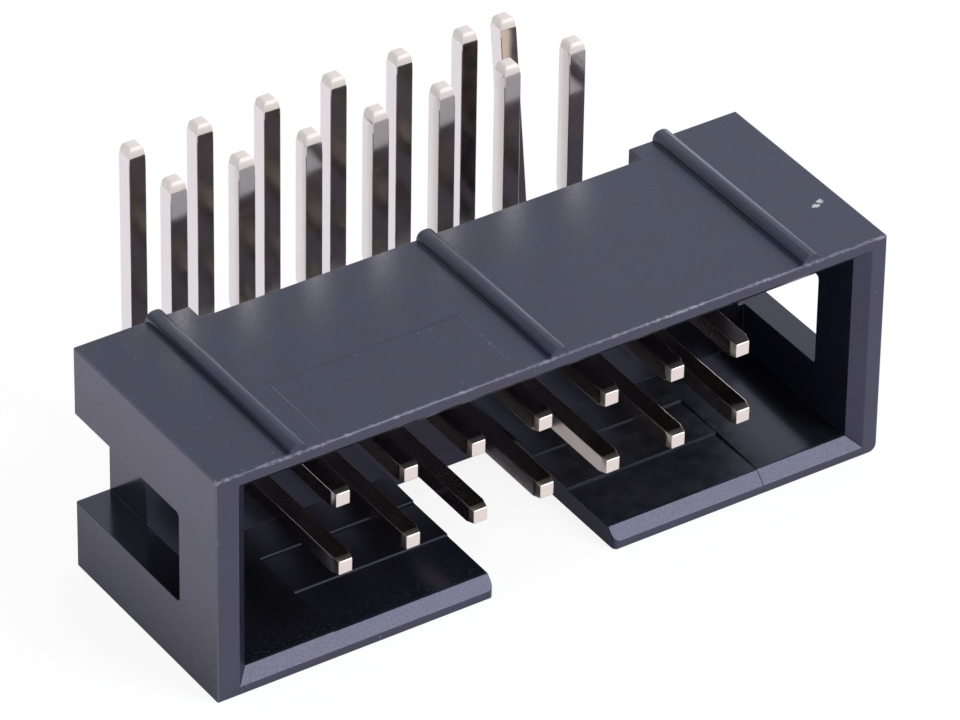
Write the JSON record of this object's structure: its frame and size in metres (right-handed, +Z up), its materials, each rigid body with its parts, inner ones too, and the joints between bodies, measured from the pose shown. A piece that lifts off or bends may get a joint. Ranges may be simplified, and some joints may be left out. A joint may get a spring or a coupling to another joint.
{
  "type": "idc box header",
  "caption": "Black shrouded right-angle pin header for a flat cable socket, with a keyed mouth, end slots, stand-off ribs and bent square solder pins.",
  "frame": {"origin": "middle of the whole part's footprint, on the surface that its keyed wall lies on", "axes": "+X along the rows of pins, -Y out of the mouth towards the mating socket, +Z up along the solder tails"},
  "size_m": [0.0254, 0.0136, 0.0119],
  "materials": {
    "housing_plastic": "satin black glass-filled moulding",
    "pin_plating": "bright tin plate over brass"
  },
  "bodies": {
    "root": {"housing": "housing_plastic", "short_pin_1": "pin_plating", "short_pin_2": "pin_plating", "short_pin_3": "pin_plating", "short_pin_4": "pin_plating", "short_pin_5": "pin_plating", "short_pin_6": "pin_plating", "short_pin_7": "pin_plating", "long_pin_1": "pin_plating", "long_pin_2": "pin_plating", "long_pin_3": "pin_plating", "long_pin_4": "pin_plating", "long_pin_5": "pin_plating", "long_pin_6": "pin_plating", "long_pin_7": "pin_plating"}
  },
  "joints": []
}
